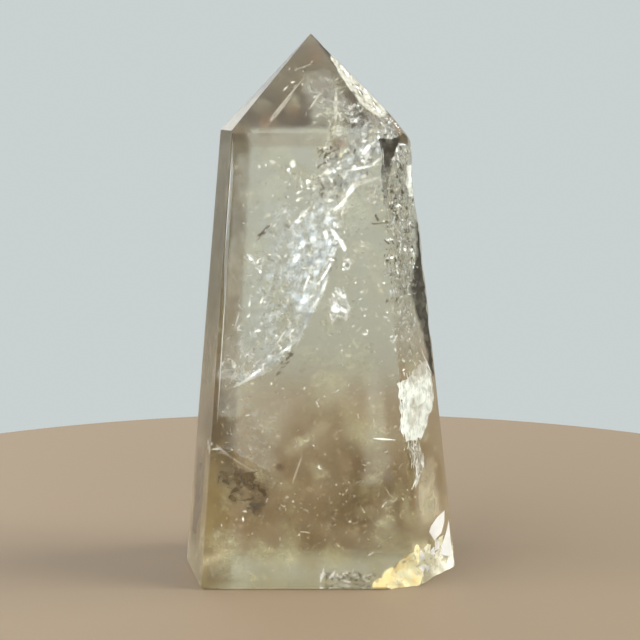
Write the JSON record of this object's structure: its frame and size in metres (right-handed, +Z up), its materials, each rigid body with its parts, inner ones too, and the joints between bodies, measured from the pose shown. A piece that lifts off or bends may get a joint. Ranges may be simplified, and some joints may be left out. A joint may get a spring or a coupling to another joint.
{
  "type": "quartz tower",
  "caption": "Six-sided polished point of pale smoky quartz that tapers to a faceted tip and stands on its flat base as a desk ornament.",
  "frame": {"origin": "middle of the bounding box, on the flat base", "axes": "+Z up the crystal to its point, +X to the right of the wide front side, -Y out of the front side"},
  "size_m": [0.0768, 0.05, 0.15],
  "materials": {
    "quartz": "hand-polished clear quartz, smoky brown in the lower half and the tip, with veils and cracks inside"
  },
  "bodies": {
    "root": {"quartz_tower": "quartz"}
  },
  "joints": []
}
